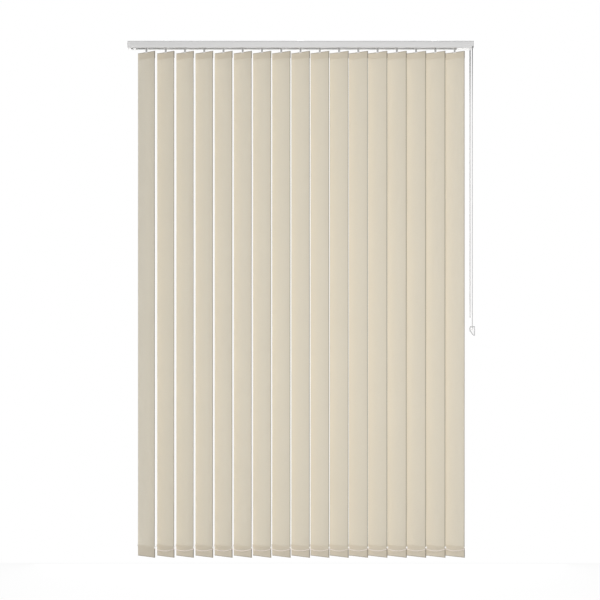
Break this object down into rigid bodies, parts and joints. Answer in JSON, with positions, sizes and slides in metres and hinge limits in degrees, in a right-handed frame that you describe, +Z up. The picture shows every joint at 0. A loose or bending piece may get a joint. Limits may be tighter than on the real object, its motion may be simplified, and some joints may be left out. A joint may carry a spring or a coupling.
{
  "type": "vertical blind",
  "caption": "Vertical window blind: beige fabric slats hang from carriers in a slotted headrail, turned by a bead-chain loop and drawn aside by a weighted cord loop.",
  "frame": {"origin": "axis of the middle bracket's screw hole, at the ceiling face of the brackets", "axes": "+X along the headrail towards the control end, +Y from the room to the window, +Z up"},
  "size_m": [1.4385, 0.0578, 2.14],
  "materials": {
    "slat_fabric": "matte",
    "rail_aluminium": "satin",
    "rod_aluminium": "satin",
    "white_plastic": "satin",
    "carrier_plastic": "matte",
    "chain_plastic": "satin",
    "link_chain_plastic": "satin",
    "cord_white": "matte",
    "steel": "satin"
  },
  "bodies": {
    "rail": {"headrail": "rail_aluminium", "idler_end_cap": "white_plastic", "control_end_cap": "white_plastic", "pulley_pin": "steel", "bracket_left": "steel", "bracket_middle": "steel", "bracket_right": "steel", "tilt_chain": "chain_plastic", "draw_cord": "cord_white", "draw_cord_run": "cord_white", "cord_weight": "white_plastic", "roller_pin": "steel", "carrier_17": "carrier_plastic"},
    "carrier_01": {"carrier_01": "carrier_plastic"},
    "carrier_02": {"carrier_02": "carrier_plastic"},
    "carrier_03": {"carrier_03": "carrier_plastic"},
    "carrier_04": {"carrier_04": "carrier_plastic"},
    "carrier_05": {"carrier_05": "carrier_plastic"},
    "carrier_06": {"carrier_06": "carrier_plastic"},
    "carrier_07": {"carrier_07": "carrier_plastic"},
    "carrier_08": {"carrier_08": "carrier_plastic"},
    "carrier_09": {"carrier_09": "carrier_plastic"},
    "carrier_10": {"carrier_10": "carrier_plastic"},
    "carrier_11": {"carrier_11": "carrier_plastic"},
    "carrier_12": {"carrier_12": "carrier_plastic"},
    "carrier_13": {"carrier_13": "carrier_plastic"},
    "carrier_14": {"carrier_14": "carrier_plastic"},
    "carrier_15": {"carrier_15": "carrier_plastic"},
    "carrier_16": {"carrier_16": "carrier_plastic"},
    "slat_01": {"slat_01": "slat_fabric"},
    "slat_02": {"slat_02": "slat_fabric"},
    "slat_03": {"slat_03": "slat_fabric"},
    "slat_04": {"slat_04": "slat_fabric"},
    "slat_05": {"slat_05": "slat_fabric"},
    "slat_06": {"slat_06": "slat_fabric"},
    "slat_07": {"slat_07": "slat_fabric"},
    "slat_08": {"slat_08": "slat_fabric"},
    "slat_09": {"slat_09": "slat_fabric"},
    "slat_10": {"slat_10": "slat_fabric"},
    "slat_11": {"slat_11": "slat_fabric"},
    "slat_12": {"slat_12": "slat_fabric"},
    "slat_13": {"slat_13": "slat_fabric"},
    "slat_14": {"slat_14": "slat_fabric"},
    "slat_15": {"slat_15": "slat_fabric"},
    "slat_16": {"slat_16": "slat_fabric"},
    "slat_17": {"slat_17": "slat_fabric"},
    "tilt_shaft": {"tilt_rod": "rod_aluminium", "chain_wheel": "white_plastic"},
    "return_pulley": {"return_pulley": "white_plastic"},
    "cord_pulley_front": {"cord_pulley_front": "white_plastic"},
    "cord_pulley_rear": {"cord_pulley_rear": "white_plastic"},
    "weight_roller": {"weight_roller": "white_plastic"},
    "bottom_chain_front": {"bottom_chain_front": "link_chain_plastic"},
    "bottom_chain_rear": {"bottom_chain_rear": "link_chain_plastic"}
  },
  "joints": [
    {"name": "traverse", "type": "slide", "parent": "rail", "child": "carrier_01", "axis": [1, 0, 0], "range_m": [0, 0.88], "deforming": ["bottom_chain_front", "bottom_chain_rear"]},
    {"name": "carrier_02_slide", "type": "slide", "parent": "rail", "child": "carrier_02", "axis": [1, 0, 0], "range_m": [0, 0.825]},
    {"name": "carrier_03_slide", "type": "slide", "parent": "rail", "child": "carrier_03", "axis": [1, 0, 0], "range_m": [0, 0.77]},
    {"name": "carrier_04_slide", "type": "slide", "parent": "rail", "child": "carrier_04", "axis": [1, 0, 0], "range_m": [0, 0.715]},
    {"name": "carrier_05_slide", "type": "slide", "parent": "rail", "child": "carrier_05", "axis": [1, 0, 0], "range_m": [0, 0.66]},
    {"name": "carrier_06_slide", "type": "slide", "parent": "rail", "child": "carrier_06", "axis": [1, 0, 0], "range_m": [0, 0.605]},
    {"name": "carrier_07_slide", "type": "slide", "parent": "rail", "child": "carrier_07", "axis": [1, 0, 0], "range_m": [0, 0.55]},
    {"name": "carrier_08_slide", "type": "slide", "parent": "rail", "child": "carrier_08", "axis": [1, 0, 0], "range_m": [0, 0.495]},
    {"name": "carrier_09_slide", "type": "slide", "parent": "rail", "child": "carrier_09", "axis": [1, 0, 0], "range_m": [0, 0.44]},
    {"name": "carrier_10_slide", "type": "slide", "parent": "rail", "child": "carrier_10", "axis": [1, 0, 0], "range_m": [0, 0.385]},
    {"name": "carrier_11_slide", "type": "slide", "parent": "rail", "child": "carrier_11", "axis": [1, 0, 0], "range_m": [0, 0.33]},
    {"name": "carrier_12_slide", "type": "slide", "parent": "rail", "child": "carrier_12", "axis": [1, 0, 0], "range_m": [0, 0.275]},
    {"name": "carrier_13_slide", "type": "slide", "parent": "rail", "child": "carrier_13", "axis": [1, 0, 0], "range_m": [0, 0.22]},
    {"name": "carrier_14_slide", "type": "slide", "parent": "rail", "child": "carrier_14", "axis": [1, 0, 0], "range_m": [0, 0.165]},
    {"name": "carrier_15_slide", "type": "slide", "parent": "rail", "child": "carrier_15", "axis": [1, 0, 0], "range_m": [0, 0.11]},
    {"name": "carrier_16_slide", "type": "slide", "parent": "rail", "child": "carrier_16", "axis": [1, 0, 0], "range_m": [0, 0.055]},
    {"name": "slat_01_turn", "type": "hinge", "parent": "carrier_01", "child": "slat_01", "pos_m": [-0.64, 0, -0.05], "axis": [0, 0, 1], "range_deg": [-136.5, 19.5]},
    {"name": "slat_02_turn", "type": "hinge", "parent": "carrier_02", "child": "slat_02", "pos_m": [-0.56, 0, -0.05], "axis": [0, 0, 1], "range_deg": [-136.5, 19.5]},
    {"name": "slat_03_turn", "type": "hinge", "parent": "carrier_03", "child": "slat_03", "pos_m": [-0.48, 0, -0.05], "axis": [0, 0, 1], "range_deg": [-136.5, 19.5]},
    {"name": "slat_04_turn", "type": "hinge", "parent": "carrier_04", "child": "slat_04", "pos_m": [-0.4, 0, -0.05], "axis": [0, 0, 1], "range_deg": [-136.5, 19.5]},
    {"name": "slat_05_turn", "type": "hinge", "parent": "carrier_05", "child": "slat_05", "pos_m": [-0.32, 0, -0.05], "axis": [0, 0, 1], "range_deg": [-136.5, 19.5]},
    {"name": "slat_06_turn", "type": "hinge", "parent": "carrier_06", "child": "slat_06", "pos_m": [-0.24, 0, -0.05], "axis": [0, 0, 1], "range_deg": [-136.5, 19.5]},
    {"name": "slat_07_turn", "type": "hinge", "parent": "carrier_07", "child": "slat_07", "pos_m": [-0.16, 0, -0.05], "axis": [0, 0, 1], "range_deg": [-136.5, 19.5]},
    {"name": "slat_08_turn", "type": "hinge", "parent": "carrier_08", "child": "slat_08", "pos_m": [-0.08, 0, -0.05], "axis": [0, 0, 1], "range_deg": [-136.5, 19.5]},
    {"name": "slat_09_turn", "type": "hinge", "parent": "carrier_09", "child": "slat_09", "pos_m": [0, 0, -0.05], "axis": [0, 0, 1], "range_deg": [-136.5, 19.5]},
    {"name": "slat_10_turn", "type": "hinge", "parent": "carrier_10", "child": "slat_10", "pos_m": [0.08, 0, -0.05], "axis": [0, 0, 1], "range_deg": [-136.5, 19.5]},
    {"name": "slat_11_turn", "type": "hinge", "parent": "carrier_11", "child": "slat_11", "pos_m": [0.16, 0, -0.05], "axis": [0, 0, 1], "range_deg": [-136.5, 19.5]},
    {"name": "slat_12_turn", "type": "hinge", "parent": "carrier_12", "child": "slat_12", "pos_m": [0.24, 0, -0.05], "axis": [0, 0, 1], "range_deg": [-136.5, 19.5]},
    {"name": "slat_13_turn", "type": "hinge", "parent": "carrier_13", "child": "slat_13", "pos_m": [0.32, 0, -0.05], "axis": [0, 0, 1], "range_deg": [-136.5, 19.5]},
    {"name": "slat_14_turn", "type": "hinge", "parent": "carrier_14", "child": "slat_14", "pos_m": [0.4, 0, -0.05], "axis": [0, 0, 1], "range_deg": [-136.5, 19.5]},
    {"name": "slat_15_turn", "type": "hinge", "parent": "carrier_15", "child": "slat_15", "pos_m": [0.48, 0, -0.05], "axis": [0, 0, 1], "range_deg": [-136.5, 19.5]},
    {"name": "slat_16_turn", "type": "hinge", "parent": "carrier_16", "child": "slat_16", "pos_m": [0.56, 0, -0.05], "axis": [0, 0, 1], "range_deg": [-136.5, 19.5]},
    {"name": "slat_17_turn", "type": "hinge", "parent": "rail", "child": "slat_17", "pos_m": [0.64, 0, -0.05], "axis": [0, 0, 1], "range_deg": [-136.5, 19.5]},
    {"name": "tilt", "type": "hinge", "parent": "rail", "child": "tilt_shaft", "pos_m": [0, 0.0084, -0.0175], "axis": [1, 0, 0], "range_deg": [-819, 117]},
    {"name": "return_pulley_turn", "type": "hinge", "parent": "rail", "child": "return_pulley", "pos_m": [-0.6905, -0.013, -0.014], "axis": [0, 0, 1], "continuous": true},
    {"name": "cord_pulley_front_turn", "type": "hinge", "parent": "rail", "child": "cord_pulley_front", "pos_m": [0.7055, -0.017, -0.02], "axis": [0, 1, 0], "continuous": true},
    {"name": "cord_pulley_rear_turn", "type": "hinge", "parent": "rail", "child": "cord_pulley_rear", "pos_m": [0.7055, -0.009, -0.02], "axis": [0, 1, 0], "continuous": true},
    {"name": "weight_roller_turn", "type": "hinge", "parent": "rail", "child": "weight_roller", "pos_m": [0.7115, -0.013, -1.195], "axis": [1, 0, 0], "continuous": true},
    {"name": "bottom_chain_front_pivot", "type": "hinge", "parent": "slat_09", "child": "bottom_chain_front", "pos_m": [0.03845, -0.02626, -2.1], "axis": [0, 0, 1], "range_deg": [-19.5, 136.5]},
    {"name": "bottom_chain_rear_pivot", "type": "hinge", "parent": "slat_09", "child": "bottom_chain_rear", "pos_m": [-0.03845, 0.02626, -2.1], "axis": [0, 0, 1], "range_deg": [-19.5, 136.5]}
  ],
  "couplings": [
    {"joint": "carrier_02_slide", "follows": "traverse", "ratio": 0.9375},
    {"joint": "carrier_03_slide", "follows": "traverse", "ratio": 0.875},
    {"joint": "carrier_04_slide", "follows": "traverse", "ratio": 0.8125},
    {"joint": "carrier_05_slide", "follows": "traverse", "ratio": 0.75},
    {"joint": "carrier_06_slide", "follows": "traverse", "ratio": 0.6875},
    {"joint": "carrier_07_slide", "follows": "traverse", "ratio": 0.625},
    {"joint": "carrier_08_slide", "follows": "traverse", "ratio": 0.5625},
    {"joint": "carrier_09_slide", "follows": "traverse", "ratio": 0.5},
    {"joint": "carrier_10_slide", "follows": "traverse", "ratio": 0.4375},
    {"joint": "carrier_11_slide", "follows": "traverse", "ratio": 0.375},
    {"joint": "carrier_12_slide", "follows": "traverse", "ratio": 0.3125},
    {"joint": "carrier_13_slide", "follows": "traverse", "ratio": 0.25},
    {"joint": "carrier_14_slide", "follows": "traverse", "ratio": 0.1875},
    {"joint": "carrier_15_slide", "follows": "traverse", "ratio": 0.125},
    {"joint": "carrier_16_slide", "follows": "traverse", "ratio": 0.0625},
    {"joint": "slat_01_turn", "follows": "tilt", "ratio": 0.16667},
    {"joint": "slat_02_turn", "follows": "tilt", "ratio": 0.16667},
    {"joint": "slat_03_turn", "follows": "tilt", "ratio": 0.16667},
    {"joint": "slat_04_turn", "follows": "tilt", "ratio": 0.16667},
    {"joint": "slat_05_turn", "follows": "tilt", "ratio": 0.16667},
    {"joint": "slat_06_turn", "follows": "tilt", "ratio": 0.16667},
    {"joint": "slat_07_turn", "follows": "tilt", "ratio": 0.16667},
    {"joint": "slat_08_turn", "follows": "tilt", "ratio": 0.16667},
    {"joint": "slat_09_turn", "follows": "tilt", "ratio": 0.16667},
    {"joint": "slat_10_turn", "follows": "tilt", "ratio": 0.16667},
    {"joint": "slat_11_turn", "follows": "tilt", "ratio": 0.16667},
    {"joint": "slat_12_turn", "follows": "tilt", "ratio": 0.16667},
    {"joint": "slat_13_turn", "follows": "tilt", "ratio": 0.16667},
    {"joint": "slat_14_turn", "follows": "tilt", "ratio": 0.16667},
    {"joint": "slat_15_turn", "follows": "tilt", "ratio": 0.16667},
    {"joint": "slat_16_turn", "follows": "tilt", "ratio": 0.16667},
    {"joint": "slat_17_turn", "follows": "tilt", "ratio": 0.16667},
    {"joint": "bottom_chain_front_pivot", "follows": "tilt", "ratio": -0.16667},
    {"joint": "bottom_chain_rear_pivot", "follows": "tilt", "ratio": -0.16667}
  ]
}
